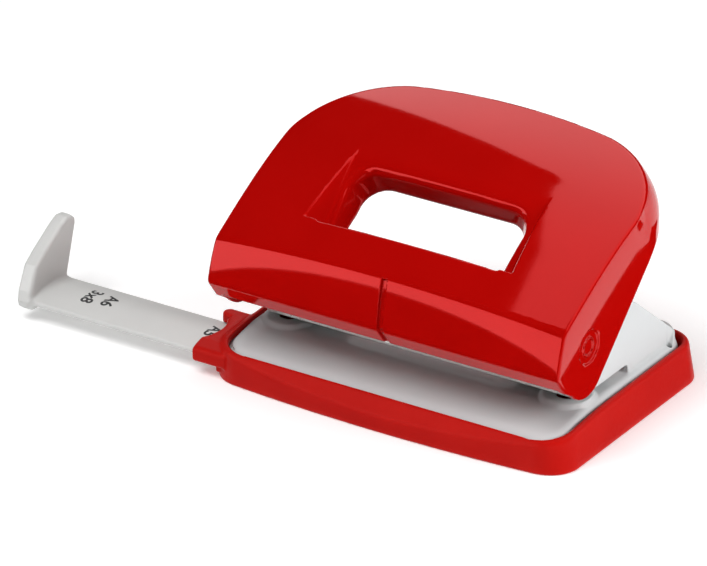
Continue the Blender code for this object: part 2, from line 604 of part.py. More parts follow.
def make_lever(mat):
    lever = lever_body(0.0, mat)
    cavity = lever_body(SKIN, mat)
    # the cavity leaves the two cheeks standing
    cut(lever, cavity)
    # front wall ends above the paper slot between the cheeks
    cut(lever, box("mouth", (-LEVER_HALF + SKIN, LEVER_HALF - SKIN), MOUTH_Y, MOUTH_Z, mat))
    # walls round the hand opening, thicker at both ends for the finger scoops
    tube = loft("tube", [[on_face(x, s, d) for x, s in grip_outline(TUBE_WALL)] for d in (GRIP_DEPTH, -12.0)], mat)
    low, high = GRIP_LOW - 1.2, GRIP_HIGH + 1.2
    block = ((-WING_HALF, low), (WING_HALF, low), (WING_HALF, high), (-WING_HALF, high))
    add(tube, loft("wings", [[on_face(x, s, d) for x, s in block] for d in (WING_DEPTH, -11.0)], mat))
    keep(tube, lever_body(0.7, mat))
    add(lever, tube)
    cut(lever, loft("hole", [[on_face(x, s, d) for x, s in grip_outline(0.0)] for d in (GRIP_DEPTH + 9.0, -12.0)],
                    mat))
    # finger scoops at both ends of the opening, fading out towards the top
    for side in (-1, 1):
        scoop = []
        for along, out, inner, deep in ((GRIP_LOW + 0.3, SCOOP_OUT, GRIP_HALF - 0.6, SCOOP_DEPTH),
                                        (GRIP_HIGH + 3.6, SCOOP_OUT - 2.4, SCOOP_OUT - 3.4, -0.6)):
            wedge = [(2.0 * out - inner, -1.8 - deep), (inner, deep), (inner - 0.6, deep), (inner - 0.6, -4.0),
                     (2.0 * out - inner, -4.0)]
            scoop.append([on_face(side * x, along, d) for x, d in wedge])
        cut(lever, loft("scoop", scoop, mat))
    # centre mark for lining up the paper
    foot_y, foot_z = LEVER_FOOT
    cut(lever, box("mark", (-MARK_HALF, MARK_HALF), (MOUTH_Y[0], foot_y + 3.9), (MOUTH_Z[1] - 2.0, foot_z), mat))
    groove = [(MOUTH_Y[0], foot_z - 0.1), (foot_y, foot_z - 0.1), (-18.4, 39.9), (MOUTH_Y[0], 39.9)]
    cut(lever, prism_x("groove", groove, -MARK_HALF, MARK_HALF, mat))
    for side in (-1, 1):
        add(lever, drilled_x("boss", PIVOT_Y, PIVOT_Z, SOCKET_R, [side * x for x in SOCKET_X], mat))
        socket_x = (side * (SOCKET_X[0] - 0.4), side * (SOCKET_X[1] + 0.4))
        cut(lever, drilled_x("socket", PIVOT_Y, PIVOT_Z, PIVOT_R + 0.15, socket_x, mat))
        # pusher rib whose round nose rests on the punch
        rib = arc(0.0, NOSE_Z, NOSE_R, 180, 360, 9) + list(RIB_ROOT)
        x0, x1 = sorted((side * (PIN_X - RIB_HALF), side * (PIN_X + RIB_HALF)))
        add(lever, prism_x("rib", rib, x0, x1, mat))
        # oval recess in the outer cheek
        recess = []
        for i in range(24):
            a = 2 * math.pi * i / 24
            recess.append((BADGE_YZ[0] + 2.9 * math.sin(a) + 3.2 * math.cos(a), BADGE_YZ[1] + 5.2 * math.sin(a)))
        cut(lever, prism_x("recess", recess, side * (LEVER_HALF - BADGE_DEPTH), side * (LEVER_HALF + 3.0), mat))
    origin_on(lever, PIVOT_Y, PIVOT_Z)
    return lever


# ---------------------------------------------------------------- guide rail

def rail_section(gap):
    """Cross-section of the arched rail; gap grows it for the channel it slides in."""
    y0, y1 = RAIL_Y[0] - gap, RAIL_Y[1] + gap
    steps = 8
    top, bottom = [], []
    for i in range(steps + 1):
        t = i / steps
        y = y0 + (y1 - y0) * t
        arch = RAIL_CROWN * (1.0 - (2.0 * t - 1.0) ** 2)
        top.append((y, RAIL_EDGE_Z + arch + gap))
        bottom.append((y, RAIL_EDGE_Z - RAIL_T + (arch if not gap else 0.0) - gap))
    return bottom + top[::-1]


def make_rail(mat):
    rail = prism_x("guide_rail", rail_section(0.0), RAIL_X[0], RAIL_X[1], mat)
    stop = prism_x("stop", STOP_OUTLINE, STOP_X[0], STOP_X[1], mat)
    add(rail, stop)
    return rail


# ---------------------------------------------------------------- assembly

def build():
    for obj in list(bpy.data.objects):
        bpy.data.objects.remove(obj)
    red_gloss = material("red_gloss_plastic", (0.62, 0.012, 0.010), 0.16, 0.0)
    red_grain = material("red_grained_plastic", (0.60, 0.016, 0.012), 0.45, 0.0)
    grey_paint = material("grey_painted_steel", (0.66, 0.67, 0.65), 0.38, 0.0)
    grey_plastic = material("grey_plastic", (0.68, 0.68, 0.66), 0.42, 0.0)
    zinc = material("zinc_plated_steel", (0.62, 0.62, 0.60), 0.35, 1.0)
    tool_steel = material("punch_steel", (0.50, 0.50, 0.52), 0.25, 1.0)
    spring_steel = material("spring_steel", (0.42, 0.42, 0.43), 0.30, 1.0)
    white_bush = material("guide_bush_plastic", (0.75, 0.74, 0.70), 0.40, 0.0)
    rubber = material("anti_slip_rubber", (0.03, 0.03, 0.03), 0.80, 0.0)

    made = [make_tray(red_grain), make_plate(grey_paint), make_bracket(zinc), make_lever(red_gloss),
            make_rail(grey_plastic)]
    made += make_pads(rubber)
    made += make_hinge_pins(zinc)
    made += make_rivets(zinc)
    made += make_pivot_pins(zinc)
    made += make_bushes(white_bush)
    made += make_punches(tool_steel)
    made += make_springs(spring_steel)
    made += make_rings(spring_steel)
    for obj in made:
        smooth(obj)


build()
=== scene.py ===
"""Looks of the two-hole punch: moulded shells, painted sheet steel, printed marks, materials,
light and camera.

Shapes are described as fields: a function of x, y, z in millimetres that is negative inside the
piece, about one per millimetre of distance. skin() turns a field into a closed mesh of even quads.
The origin is on the tray's underside, midway between the two holes. +X runs to the right along
the punch, -Y is the paper side, +Z is up.
"""
import json
import math

import bmesh
import bpy
import numpy as np
from mathutils import Matrix, Vector


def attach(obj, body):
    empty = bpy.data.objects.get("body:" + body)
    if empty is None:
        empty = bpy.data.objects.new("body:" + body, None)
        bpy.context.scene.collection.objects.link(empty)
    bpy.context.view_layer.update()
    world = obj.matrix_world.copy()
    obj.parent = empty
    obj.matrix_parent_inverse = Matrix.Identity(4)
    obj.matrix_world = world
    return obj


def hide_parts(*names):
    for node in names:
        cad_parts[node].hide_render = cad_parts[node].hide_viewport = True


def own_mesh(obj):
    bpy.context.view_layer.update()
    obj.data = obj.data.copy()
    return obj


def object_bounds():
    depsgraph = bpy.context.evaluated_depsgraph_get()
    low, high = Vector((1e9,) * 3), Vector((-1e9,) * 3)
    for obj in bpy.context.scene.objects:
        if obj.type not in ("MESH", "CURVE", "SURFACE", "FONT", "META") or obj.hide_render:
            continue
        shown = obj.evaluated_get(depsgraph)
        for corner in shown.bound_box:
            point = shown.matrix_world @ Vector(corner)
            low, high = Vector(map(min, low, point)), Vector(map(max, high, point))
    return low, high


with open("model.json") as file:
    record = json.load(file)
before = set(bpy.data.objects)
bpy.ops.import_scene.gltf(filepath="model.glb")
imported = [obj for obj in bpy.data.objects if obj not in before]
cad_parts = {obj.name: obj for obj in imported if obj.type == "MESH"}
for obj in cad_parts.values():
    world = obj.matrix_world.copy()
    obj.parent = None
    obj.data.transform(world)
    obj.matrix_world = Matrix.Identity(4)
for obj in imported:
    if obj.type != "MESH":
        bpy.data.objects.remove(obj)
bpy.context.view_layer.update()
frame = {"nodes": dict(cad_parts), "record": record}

MM = 0.001

# Punches, paper slot and the lever's pivot (y, z)
PIN_X = 40.0
DIE_R = 2.9
SLOT_Z = (11.0, 13.2)
PIVOT = (-9.0, 26.5)
FAR = 90.0                # well past every piece, for fields that stay open on one side

# Lever: outline at its widest, and at the crease where the side walls meet the top
LEVER_HALF, LEVER_REAR, LEVER_CORNER, LEVER_BOW = 50.2, 41.3, 16.3, 0.0020
CREASE_HALF, CREASE_REAR, CREASE_CORNER, SHOULDER = 49.9, 40.2, 23.5, 9.0
LEVER_BULGE, SKIN = 3.2, 2.2
BOW_FULL_Y = 20.0         # the rear edge's bow has its full size from here on
TIP, TIP_R = (-7.8, 24.6), 8.0
LIP_END = (-17.9, 22.0)
FACET_FOOT, FACET_HEAD = (-21.5, 27.0), (-17.8, 37.6)
FACET_FOOT_OUT, FACET_HEAD_OUT, FACET_HEAD_RISE = 0.15, 1.3, 0.95
FACET_SWELL, FACET_CURVE, FACET_MIDDLE_Z = 0.25, 0.009, 33.0
RIDGE_POINTS = ((-17.8, 37.6), (-10.0, 42.2), (0.0, 47.6), (8.0, 51.4), (19.0, 55.3), (31.0, 58.2),
                (42.0, 60.0))
UNDERSIDE = [(20.2, 40.3), (22.0, 41.9), (24.0, 43.3), (26.5, 44.6), (29.5, 45.8), (33.0, 47.0),
             (38.0, 48.6), (60.0, 55.0)]
MOUTH_FRONT_Y = -12.0
RIDGE = np.polyfit([p[0] for p in RIDGE_POINTS], [p[1] for p in RIDGE_POINTS], 4)
RIDGE_SLOPE = np.polyder(RIDGE)

# Hand opening, measured along the main face from this origin (y, z)
GRIP_TILT = math.radians(28.0)
GRIP_ORIGIN = (0.0, 48.9)
GRIP_HALF, GRIP_LOW, GRIP_HIGH, GRIP_TAPER = 25.9, -10.0, 8.6, 0.40
GRIP_CORNER, GRIP_DEPTH, GRIP_WALL = 6.2, 8.5, 2.0
WING_HALF, WING_BORDER, WING_DEPTH = 33.0, 1.2, 7.2
SCOOP_OUT, SCOOP_NARROWING, SCOOP_SLOPE, SCOOP_FADE, SCOOP_END = 29.7, 0.105, 1.6, 0.25, 13.0
UNDER_TOP = 1.1           # inner walls and ribs stop this far below the lever's outer face

# Centre mark, pivot bosses, pusher ribs and badge of the lever
MARK_HALF, MARK_DEPTH, MARK_PAST_HEAD = 0.75, 0.9, 1.9
BOSS_R, BOSS_X, SOCKET_R, SOCKET_END_X = 4.6, (46.4, 48.6), 2.15, 49.0
RIB_HALF = 1.8
RIB = ((0.0, 28.4), 2.0, [(6.5, 36.0), (9.0, 56.0), (-9.0, 48.0), (-6.5, 36.0)])
BADGE, BADGE_R, BADGE_DEPTH = (PIVOT[0] + 1.9, PIVOT[1] + 3.4), 4.3, 0.35
RING_R, RING_HALF, RING_X = 2.2, 0.28, (49.0, LEVER_HALF - 0.05)

# Chip tray
TRAY_HALF, TRAY_DRAFT, TRAY_FRONT, TRAY_BOW, TRAY_REAR = 51.2, 0.11, -22.9, 0.0010, 47.2
TRAY_CORNER, TRAY_TOP, TRAY_FLOOR, POCKET_Z = 8.0, 10.7, 2.0, 6.2
BOW_END_Y, BOW_FLAT = 5.0, 6.0
RIM_FRONT = (-20.2, 8.8)
TRAY_FACET = ((-26.0, -1.0), (-20.5, 8.5))
CHIP_HALF, CHIP_Y, CHIP_CORNER = 46.7, (-18.3, 44.6), 6.0
POCKET_GAP, POCKET_FRONT_GAP, POCKET_REAR = 0.35, 0.3, 44.9
CHANNEL_LOW, CHANNEL_GAP = 4.3, 0.3
RAIL_RIBS_Y, RAIL_RIB_Z, RAIL_RIB_START = ((-19.2, -17.4), (-4.6, -2.8)), (1.5, 4.2), -49.5
LUGS_X, LUG_R, LUG_FOOT = ((27.4, 30.7), (37.3, 40.6)), 1.35, [(38.4, 1.5), (41.5, 1.5)]
PAD_X, PADS_Y, PAD_SEAT_R, PAD_SEAT_Z = 38.0, (-9.0, 33.0), 5.2, 1.1

# Steel plate
PLATE_HALF, PLATE_FRONT, PLATE_REAR, PLATE_CORNER = 48.2, -19.6, 43.8, 7.5
SHEET, SKIRT_Z, APRON_Y, APRON_FRONT_Z = 1.2, 7.1, -6.0, 8.5
DIE_BOSS_R, DIE_BOSS_FADE, DIE_BOSS_RISE = 7.4, 1.6, 0.9
EAR_X = (44.2, 45.7)
PIVOT_HOLE_R, RIVET_HOLE_R, EAR_DRILL_X, FLANGE_DRILL_X = 2.1, 1.4, 47.0, 41.0
RIVETS = ((6.6, 20.6), (9.4, 25.0))
RELIEF, RELIEF_R, RELIEF_Z = (46.4, 36.8), 0.8, 9.0
KNUCKLE_R, KNUCKLE_X, KNUCKLE_Y, KNUCKLE_Z = 1.6, (31.0, 37.0), (39.0, 42.2), (8.2, 10.6)
NOTCH_Z, NOTCH_X = 7.9, -45.0
UPSTAND_IN, UPSTAND_TOP, UPSTAND_FALL, UPSTAND_LOW = (-2.3, -1.1), 13.8, 3.4, 10.2
UPSTAND_FULL_Y, UPSTAND_FADE, UPSTAND_END_Y = 42.4, 5.0, 37.4
SPRING_Z, SPRING_R, WIRE_R, SPRING_TURNS, PUNCH_TRAVEL = (16.3, 24.6), 3.55, 0.32, 5.5, 4.8
END_TURN, END_RISE = 0.6, 0.05
HINGE, HINGE_BORE_R = (40.6, 8.2), 0.9

# Guide bracket
BRACKET_HALF, BRACKET_Y, BRACKET_WEB_Z = 43.9, (-4.9, 13.4), (13.6, 14.8)
FLANGE_IN, FLANGE_FRONT, FLANGE_TOP = 42.7, 4.4, 28.0
BRACKET_STOP_X, BRACKET_STOP_Y, BRACKET_STOP_Z = (18.0, 33.0), (12.0, 13.4), (11.3, 14.2)
BUSH_HOLE_R = 3.6
WINDOW_HALF, WINDOW_Y, WINDOW_CORNER = 24.0, (-1.4, 7.6), 3.0

# Guide rail
RAIL_Y, RAIL_EDGE_Z, RAIL_CROWN, RAIL_T = (-19.0, -2.7), 6.0, 1.5, 1.4
RAIL_X, RAIL_REACH_X, STOP_X = (-105.6, 7.0), 44.2, (-109.2, -105.0)
MARK_TALL, MARK_MIDDLE_Y, MARK_PROUD, MARK_THICK, MARK_STRIP = 4.6, -11.1, 0.05, 0.12, 0.4
MARKS = (("mark_a5", "A5", -55.8), ("mark_a6", "A6", -86.8), ("mark_3x8", "3x8", -92.3),
         ("mark_a4", "A4", -12.3))


# ---------------------------------------------------------------- fields

def join(a, b, r):
    """Union of two fields with a fillet of about r."""
    overlap = np.maximum(r - np.abs(a - b), 0.0)
    return np.minimum(a, b) - overlap * overlap / (4.0 * r)


def meet(a, b, r):
    """Intersection of two fields with its edge rounded by about r."""
    return -join(-a, -b, r)


def carve(a, b, r):
    """Field a with field b cut out of it."""
    return meet(a, -b, r)


def band(v, low, high):
    """Everything between low and high."""
    return np.abs(v - 0.5 * (low + high)) - 0.5 * (high - low)


def disc(u, v, at, r):
    """Round bar of radius r through the point at."""
    return np.sqrt((u - at[0]) ** 2 + (v - at[1]) ** 2) - r


def panel(u, v, half, low, high, r_low, r_high):
    """Rectangle of width 2 * half between low and high, with round corners of two radii."""
    radius = np.where(v < 0.5 * (low + high), r_low, r_high)
    du = np.abs(u) - half + radius
    dv = np.abs(v - 0.5 * (low + high)) - 0.5 * (high - low) + radius
    outside = np.sqrt(np.maximum(du, 0.0) ** 2 + np.maximum(dv, 0.0) ** 2)
    return outside + np.minimum(np.maximum(du, dv), 0.0) - radius


def left_of(u, v, p, q):
    """Signed distance from the line p to q; positive on its left side."""
    du, dv = q[0] - p[0], q[1] - p[1]
    return ((v - p[1]) * du - (u - p[0]) * dv) / np.sqrt(du * du + dv * dv)


def outline_field(u, v, points):
    """Signed distance from a closed outline; negative inside."""
    nearest = None
    inside = False
    for (u0, v0), (u1, v1) in zip(points, points[1:] + points[:1]):
        du, dv = u1 - u0, v1 - v0
        t = np.clip(((u - u0) * du + (v - v0) * dv) / (du * du + dv * dv), 0.0, 1.0)
        gap = (u - u0 - t * du) ** 2 + (v - v0 - t * dv) ** 2
        nearest = gap if nearest is None else np.minimum(nearest, gap)
        if v0 != v1:
            crosses = ((v < v0) != (v < v1)) & (u < u0 + (v - v0) * du / dv)
            inside = inside ^ crosses
    return np.where(inside, -1.0, 1.0) * np.sqrt(nearest)


def arc(cu, cv, r, start, end, count):
    """Points on an arc; the angles are degrees."""
    turn = [math.radians(start + (end - start) * i / (count - 1)) for i in range(count)]
    return [(cu + r * math.cos(a), cv + r * math.sin(a)) for a in turn]


# ---------------------------------------------------------------- from a field to a mesh

def steps(*stretches):
    """Grid positions from (start, end, step) stretches that follow each other."""
    places = []
    for start, end, step in stretches:
        count = max(1, round((end - start) / step))
        places += [start + (end - start) * i / count for i in range(count)]
    return np.array(places + [stretches[-1][1]])


def both_sides(*stretches):
    """The same stretches on +X and, mirrored, on -X; the first one starts at zero."""
    right = steps(*stretches)
    return np.concatenate([-right[:0:-1], right])


def slope_of(field, at, reach=0.02):
    """Slope of a field at points, from its change over a short reach either side."""
    columns = []
    for axis in range(3):
        shift = np.zeros(3)
        shift[axis] = reach
        columns.append((field(*(at + shift).T) - field(*(at - shift).T)) / (2.0 * reach))
    return np.stack(columns, axis=1)


def settle(field, at, limit):
    """Move points on to the field's surface."""
    for _ in range(4):
        slope = slope_of(field, at)
        size = np.maximum((slope * slope).sum(axis=1), 0.05)
        move = slope * (field(*at.T) / size)[:, None]
        length = np.sqrt((move * move).sum(axis=1))
        move *= np.minimum(1.0, limit / np.maximum(length, 1e-9))[:, None]
        at = at - move
    return at


def relax(at, quads):
    """Even out the spacing: each point moves half way to the middle of its neighbours."""
    total = np.zeros_like(at)
    count = np.zeros(len(at))
    for i in range(4):
        a, b = quads[:, i], quads[:, (i + 1) % 4]
        for end, other in ((a, b), (b, a)):
            for axis in range(3):
                total[:, axis] += np.bincount(end, weights=at[other, axis], minlength=len(at))
            count += np.bincount(end, minlength=len(at))
    return 0.5 * at + 0.5 * total / np.maximum(count, 1.0)[:, None]


def skin(name, field, xs, ys, zs, mat):
    """Closed quad mesh of the field's zero surface: one point in each grid cell that it crosses."""
    grid = np.meshgrid(xs, ys, zs, indexing="ij", sparse=True)
    value = np.broadcast_to(field(*grid), (len(xs), len(ys), len(zs)))
    inside = value < 0.0
    cells = tuple(n - 1 for n in value.shape)
    hits = np.zeros(cells)
    sums = [np.zeros(cells) for _ in range(3)]
    crossings = []
    for axis in range(3):
        low = tuple(slice(None, -1) if k == axis else slice(None) for k in range(3))
        high = tuple(slice(1, None) if k == axis else slice(None) for k in range(3))
        cross = inside[low] != inside[high]
        crossings.append(cross)
        share = np.where(cross, value[low] / np.where(cross, value[low] - value[high], 1.0), 0.0)
        place = []
        for k in range(3):
            along = grid[k]
            if k == axis:
                along = along[low] + share * (along[high] - along[low])
            place.append(np.broadcast_to(along, cross.shape) * cross)
        u, v = [k for k in range(3) if k != axis]
        for iu in (0, 1):
            for iv in (0, 1):
                part = [slice(None)] * 3
                part[u] = slice(iu, iu + cells[u])
                part[v] = slice(iv, iv + cells[v])
                hits += cross[tuple(part)]
                for k in range(3):
                    sums[k] += place[k][tuple(part)]
    active = hits > 0
    number = np.full(cells, -1, dtype=np.int64)
    number[active] = np.arange(int(active.sum()))
    at = np.stack([s[active] / hits[active] for s in sums], axis=1)
    quads = []
    for axis in range(3):
        u, v = (axis + 1) % 3, (axis + 2) % 3
        where = np.argwhere(crossings[axis])
        past_low = (where[:, u] > 0) & (where[:, v] > 0)
        where = where[past_low & (where[:, u] < cells[u]) & (where[:, v] < cells[v])]
        corners = []
        for du, dv in ((1, 1), (0, 1), (0, 0), (1, 0)):
            cell = where.copy()
            cell[:, u] -= du
            cell[:, v] -= dv
            corners.append(number[tuple(cell.T)])
        quad = np.stack(corners, axis=1)
        starts_inside = inside[tuple(where.T)]
        quad[~starts_inside] = quad[~starts_inside][:, ::-1]
        quads.append(quad)
    quads = np.concatenate(quads)
    limit = 0.5 * max(np.diff(ys).min(), np.diff(zs).min())
    for _ in range(2):
        at = settle(field, relax(at, quads), limit)
    mesh = bpy.data.meshes.new(name)
    mesh.from_pydata((at * MM).tolist(), [], quads.tolist())
    mesh.shade_smooth()
    normals = slope_of(field, at)
    normals /= np.maximum(np.sqrt((normals * normals).sum(axis=1)), 1e-9)[:, None]
    mesh.normals_split_custom_set_from_vertices(normals.tolist())
    obj = bpy.data.objects.new(name, mesh)
    mesh.materials.append(mat)
    bpy.context.scene.collection.objects.link(obj)
    return obj


# ---------------------------------------------------------------- materials

NOISE_RANGE = (0.3, 0.7)  # noise values lie mostly between these two


class Paint:
    """A Principled material with a few node helpers."""

    def __init__(self, name, colour, rough, metal=0.0):
        self.mat = bpy.data.materials.new(name)
        self.mat.use_nodes = True
        self.nodes = self.mat.node_tree.nodes
        self.links = self.mat.node_tree.links
        self.shader = self.nodes["Principled BSDF"]
        self.shader.inputs["Base Color"].default_value = (*colour, 1.0)
        self.shader.inputs["Roughness"].default_value = rough
        self.shader.inputs["Metallic"].default_value = metal
        self.place = self.nodes.new("ShaderNodeTexCoord").outputs["Object"]
        self.bumps = None

    def noise(self, per_mm, detail=3.0, stretch=(1.0, 1.0, 1.0)):
        spread = self.nodes.new("ShaderNodeMapping")
        spread.inputs["Scale"].default_value = stretch
        self.links.new(self.place, spread.inputs["Vector"])
        node = self.nodes.new("ShaderNodeTexNoise")
        node.inputs["Scale"].default_value = per_mm / MM
        node.inputs["Detail"].default_value = detail
        self.links.new(spread.outputs["Vector"], node.inputs["Vector"])
        return node.outputs["Fac"]

    def grain(self, per_mm):
        node = self.nodes.new("ShaderNodeTexVoronoi")
        node.inputs["Scale"].default_value = per_mm / MM
        self.links.new(self.place, node.inputs["Vector"])
        return node.outputs["Distance"]

    def map(self, value, from_low, from_high, to_low, to_high):
        node = self.nodes.new("ShaderNodeMapRange")
        node.inputs["From Min"].default_value = from_low
        node.inputs["From Max"].default_value = from_high
        node.inputs["To Min"].default_value = to_low
        node.inputs["To Max"].default_value = to_high
        self.links.new(value, node.inputs["Value"])
        return node.outputs["Result"]

    def rough_from(self, value, low, high):
        self.links.new(self.map(value, *NOISE_RANGE, low, high), self.shader.inputs["Roughness"])

    def colour_from(self, value, dark, light):
        node = self.nodes.new("ShaderNodeMix")
        node.data_type = "RGBA"
        node.inputs["A"].default_value = (*dark, 1.0)
        node.inputs["B"].default_value = (*light, 1.0)
        self.links.new(self.map(value, *NOISE_RANGE, 0.0, 1.0), node.inputs["Factor"])
        self.links.new(node.outputs["Result"], self.shader.inputs["Base Color"])

    def bump(self, value, height_mm, strength=1.0):
        node = self.nodes.new("ShaderNodeBump")
        node.inputs["Distance"].default_value = height_mm * MM
        node.inputs["Strength"].default_value = strength
        self.links.new(value, node.inputs["Height"])
        if self.bumps is not None:
            self.links.new(self.bumps, node.inputs["Normal"])
        self.bumps = node.outputs["Normal"]
        self.links.new(self.bumps, self.shader.inputs["Normal"])


def red_gloss():
    paint = Paint("red_gloss", (0.42, 0.0020, 0.0012), 0.07)
    paint.shader.inputs["Specular IOR Level"].default_value = 1.0
    paint.shader.inputs["Specular Tint"].default_value = (1.0, 0.10, 0.10, 1.0)
    broad = paint.noise(0.05, 2.0)
    fine = paint.noise(1.2, 4.0)
    paint.colour_from(broad, (0.405, 0.0018, 0.0010), (0.435, 0.0022, 0.0014))
    paint.rough_from(fine, 0.035, 0.065)
    paint.bump(paint.noise(0.12, 1.0), 0.02, 0.25)
    paint.bump(paint.noise(2.5, 2.0), 0.002, 0.3)
    return paint.mat


def red_grained():
    paint = Paint("red_grained", (0.46, 0.006, 0.004), 0.42)
    paint.shader.inputs["Specular IOR Level"].default_value = 0.15
    paint.shader.inputs["Specular Tint"].default_value = (1.0, 0.25, 0.22, 1.0)
    paint.colour_from(paint.noise(0.06, 3.0), (0.44, 0.005, 0.0035), (0.48, 0.007, 0.0045))
    paint.rough_from(paint.noise(0.8, 3.0), 0.36, 0.48)
    paint.bump(paint.grain(2.6), 0.05, 0.35)
    paint.bump(paint.noise(5.0, 3.0), 0.03, 0.35)
    return paint.mat


def grey_painted():
    paint = Paint("grey_painted_steel_finish", (0.62, 0.64, 0.645), 0.34)
    paint.colour_from(paint.noise(0.05, 3.0), (0.605, 0.625, 0.63), (0.635, 0.655, 0.66))
    paint.rough_from(paint.noise(0.9, 4.0), 0.28, 0.40)
    paint.bump(paint.noise(1.1, 2.0), 0.012, 0.4)
    paint.bump(paint.noise(6.0, 2.0), 0.004, 0.4)
    return paint.mat


def grey_moulded():
    paint = Paint("grey_moulded", (0.62, 0.62, 0.605), 0.42)
    paint.colour_from(paint.noise(0.07, 2.0), (0.60, 0.60, 0.588), (0.64, 0.64, 0.625))
    paint.rough_from(paint.noise(1.0, 3.0), 0.38, 0.48)
    paint.bump(paint.grain(4.0), 0.02, 0.25)
    paint.bump(paint.noise(7.0, 2.0), 0.01, 0.3)
    return paint.mat


def zinc():
    paint = Paint("zinc_plate", (0.62, 0.62, 0.60), 0.34, 1.0)
    paint.colour_from(paint.noise(0.4, 4.0), (0.54, 0.545, 0.53), (0.66, 0.66, 0.64))
    paint.rough_from(paint.noise(1.5, 4.0), 0.26, 0.44)
    paint.bump(paint.noise(3.0, 3.0), 0.006, 0.4)
    return paint.mat


def ground_steel(name, colour, low, high):
    """Turned or ground steel with fine rings round the vertical axis."""
    paint = Paint(name, colour, low, 1.0)
    rings = paint.noise(1.5, 3.0, (1.0, 1.0, 12.0))
    paint.colour_from(rings, tuple(0.9 * c for c in colour), tuple(1.08 * c for c in colour))
    paint.rough_from(rings, low, high)
    paint.bump(rings, 0.004, 0.4)
    return paint.mat


def bush_plastic():
    paint = Paint("natural_bush_plastic", (0.70, 0.69, 0.63), 0.4)
    paint.colour_from(paint.noise(0.5, 3.0), (0.68, 0.66, 0.60), (0.73, 0.72, 0.66))
    paint.rough_from(paint.noise(2.0, 3.0), 0.36, 0.5)
    paint.bump(paint.noise(4.0, 2.0), 0.006, 0.4)
    return paint.mat


def rubber():
    paint = Paint("black_rubber", (0.022, 0.022, 0.023), 0.8)
    paint.colour_from(paint.noise(1.0, 4.0), (0.016, 0.016, 0.017), (0.032, 0.032, 0.032))
    paint.rough_from(paint.noise(3.0, 3.0), 0.7, 0.9)
    paint.bump(paint.grain(3.0), 0.04, 0.5)
    return paint.mat


def ink():
    paint = Paint("black_ink", (0.012, 0.012, 0.013), 0.5)
    paint.colour_from(paint.noise(4.0, 3.0), (0.009, 0.009, 0.010), (0.020, 0.020, 0.021))
    paint.rough_from(paint.noise(3.0, 3.0), 0.42, 0.6)
    paint.bump(paint.noise(8.0, 2.0), 0.003, 0.4)
    return paint.mat


# ---------------------------------------------------------------- lever

def lever_under_outline():
    """Side outline of everything the lever may fill: lip, cheek tip, sloping underside, rear rim."""
    lip_far = (LIP_END[0] - 3.0 * (LIP_END[0] - FACET_FOOT[0]),
               LIP_END[1] + 3.0 * (FACET_FOOT[1] - LIP_END[1]))
    outline = [lip_far, LIP_END]
    outline += arc(TIP[0], TIP[1], TIP_R, 222, 314, 14)
    outline += UNDERSIDE
    outline += [(60.0, FAR), (-40.0, FAR), (-40.0, lip_far[1])]
    return outline


def rib_outline():
    """Side outline of a pusher rib: a round nose below a block that widens into the lever."""
    middle, radius, block = RIB
    return arc(*middle, radius, 180, 360, 12) + block


UNDER = lever_under_outline()
RIB_SIDE = rib_outline()


